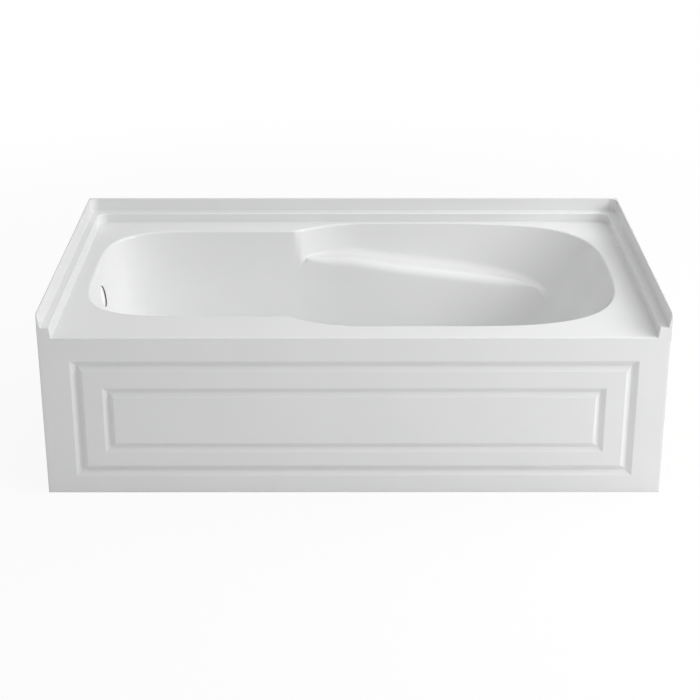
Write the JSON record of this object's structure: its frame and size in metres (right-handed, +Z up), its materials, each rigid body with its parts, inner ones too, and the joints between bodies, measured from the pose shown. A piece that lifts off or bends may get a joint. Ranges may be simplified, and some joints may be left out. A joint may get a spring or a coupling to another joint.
{
  "type": "alcove bathtub",
  "caption": "Alcove bathtub: acrylic well with falling arm rests, stepped tile flange, panelled front apron, and levelling feet under a steel and timber cradle.",
  "frame": {"origin": "floor level, in the middle of the tub's length and depth", "axes": "+Z up, +X from the drain end to the backrest end, -Y the way the apron faces"},
  "size_m": [1.524, 0.813, 0.488],
  "materials": {
    "acrylic": "glossy white cast acrylic",
    "laminate": "rough glass-fibre laminate",
    "plywood": "bare plywood",
    "timber": "bare planed softwood",
    "zinc_steel": "zinc-plated steel",
    "rubber": "matte black rubber"
  },
  "bodies": {
    "tub": {"bath_shell": "acrylic", "shell_backing": "laminate", "front_apron": "acrylic", "base_board": "plywood", "apron_top_batten": "timber", "drain_end_batten": "timber", "head_end_batten": "timber", "back_batten": "timber", "apron_rail": "timber", "apron_stile_1": "timber", "apron_stile_2": "timber", "apron_stile_3": "timber", "foot_channel": "zinc_steel", "foot_bracket": "zinc_steel", "head_channel": "zinc_steel", "head_bracket": "zinc_steel", "cradle_screws": "zinc_steel", "bracket_screws": "zinc_steel"},
    "foot_1": {"foot_1_stud": "zinc_steel", "foot_1_pad": "rubber"},
    "foot_1_nuts": {"foot_1_adjusting_nut": "zinc_steel", "foot_1_lock_nut": "zinc_steel"},
    "foot_2": {"foot_2_stud": "zinc_steel", "foot_2_pad": "rubber"},
    "foot_2_nuts": {"foot_2_adjusting_nut": "zinc_steel", "foot_2_lock_nut": "zinc_steel"},
    "foot_3": {"foot_3_stud": "zinc_steel", "foot_3_pad": "rubber"},
    "foot_3_nuts": {"foot_3_adjusting_nut": "zinc_steel", "foot_3_lock_nut": "zinc_steel"},
    "foot_4": {"foot_4_stud": "zinc_steel", "foot_4_pad": "rubber"},
    "foot_4_nuts": {"foot_4_adjusting_nut": "zinc_steel", "foot_4_lock_nut": "zinc_steel"}
  },
  "joints": [
    {"name": "foot_1_nut_turn", "type": "hinge", "parent": "tub", "child": "foot_1_nuts", "pos_m": [-0.33, -0.295, 0.054], "axis": [0, 0, 1], "range_deg": [-3086, 5143]},
    {"name": "foot_1_height", "type": "slide", "parent": "tub", "child": "foot_1", "axis": [0, 0, -1], "range_m": [-0.015, 0.025]},
    {"name": "foot_2_nut_turn", "type": "hinge", "parent": "tub", "child": "foot_2_nuts", "pos_m": [-0.33, 0.325, 0.054], "axis": [0, 0, 1], "range_deg": [-3086, 5143]},
    {"name": "foot_2_height", "type": "slide", "parent": "tub", "child": "foot_2", "axis": [0, 0, -1], "range_m": [-0.015, 0.025]},
    {"name": "foot_3_nut_turn", "type": "hinge", "parent": "tub", "child": "foot_3_nuts", "pos_m": [0.22, -0.295, 0.054], "axis": [0, 0, 1], "range_deg": [-3086, 5143]},
    {"name": "foot_3_height", "type": "slide", "parent": "tub", "child": "foot_3", "axis": [0, 0, -1], "range_m": [-0.015, 0.025]},
    {"name": "foot_4_nut_turn", "type": "hinge", "parent": "tub", "child": "foot_4_nuts", "pos_m": [0.22, 0.325, 0.054], "axis": [0, 0, 1], "range_deg": [-3086, 5143]},
    {"name": "foot_4_height", "type": "slide", "parent": "tub", "child": "foot_4", "axis": [0, 0, -1], "range_m": [-0.015, 0.025]}
  ],
  "couplings": [
    {"joint": "foot_1_nut_turn", "follows": "foot_1_height", "rad_per_m": 3590.4},
    {"joint": "foot_2_nut_turn", "follows": "foot_2_height", "rad_per_m": 3590.4},
    {"joint": "foot_3_nut_turn", "follows": "foot_3_height", "rad_per_m": 3590.4},
    {"joint": "foot_4_nut_turn", "follows": "foot_4_height", "rad_per_m": 3590.4}
  ]
}
